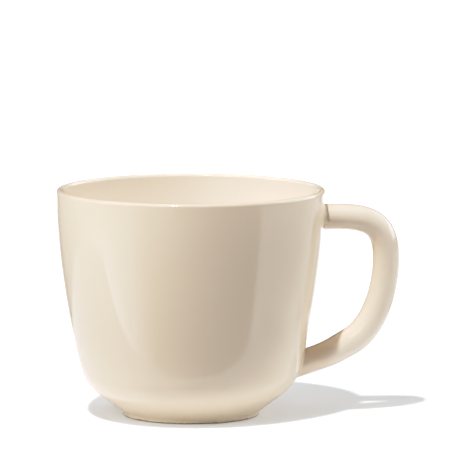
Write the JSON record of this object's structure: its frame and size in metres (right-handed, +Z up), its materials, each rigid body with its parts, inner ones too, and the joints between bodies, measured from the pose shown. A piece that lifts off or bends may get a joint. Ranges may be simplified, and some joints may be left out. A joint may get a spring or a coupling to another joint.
{
  "type": "coffee cup",
  "caption": "Round coffee cup with a rounded shoulder, a low foot ring and a loop handle, cast and glazed in one piece.",
  "frame": {"origin": "centre of the foot ring, on the table", "axes": "+Z up along the bowl's axis, +X from the axis towards the handle"},
  "size_m": [0.1221, 0.095, 0.0805],
  "materials": {
    "glaze": "smooth cream satin gloss glaze"
  },
  "bodies": {
    "root": {"cup": "glaze"}
  },
  "joints": []
}
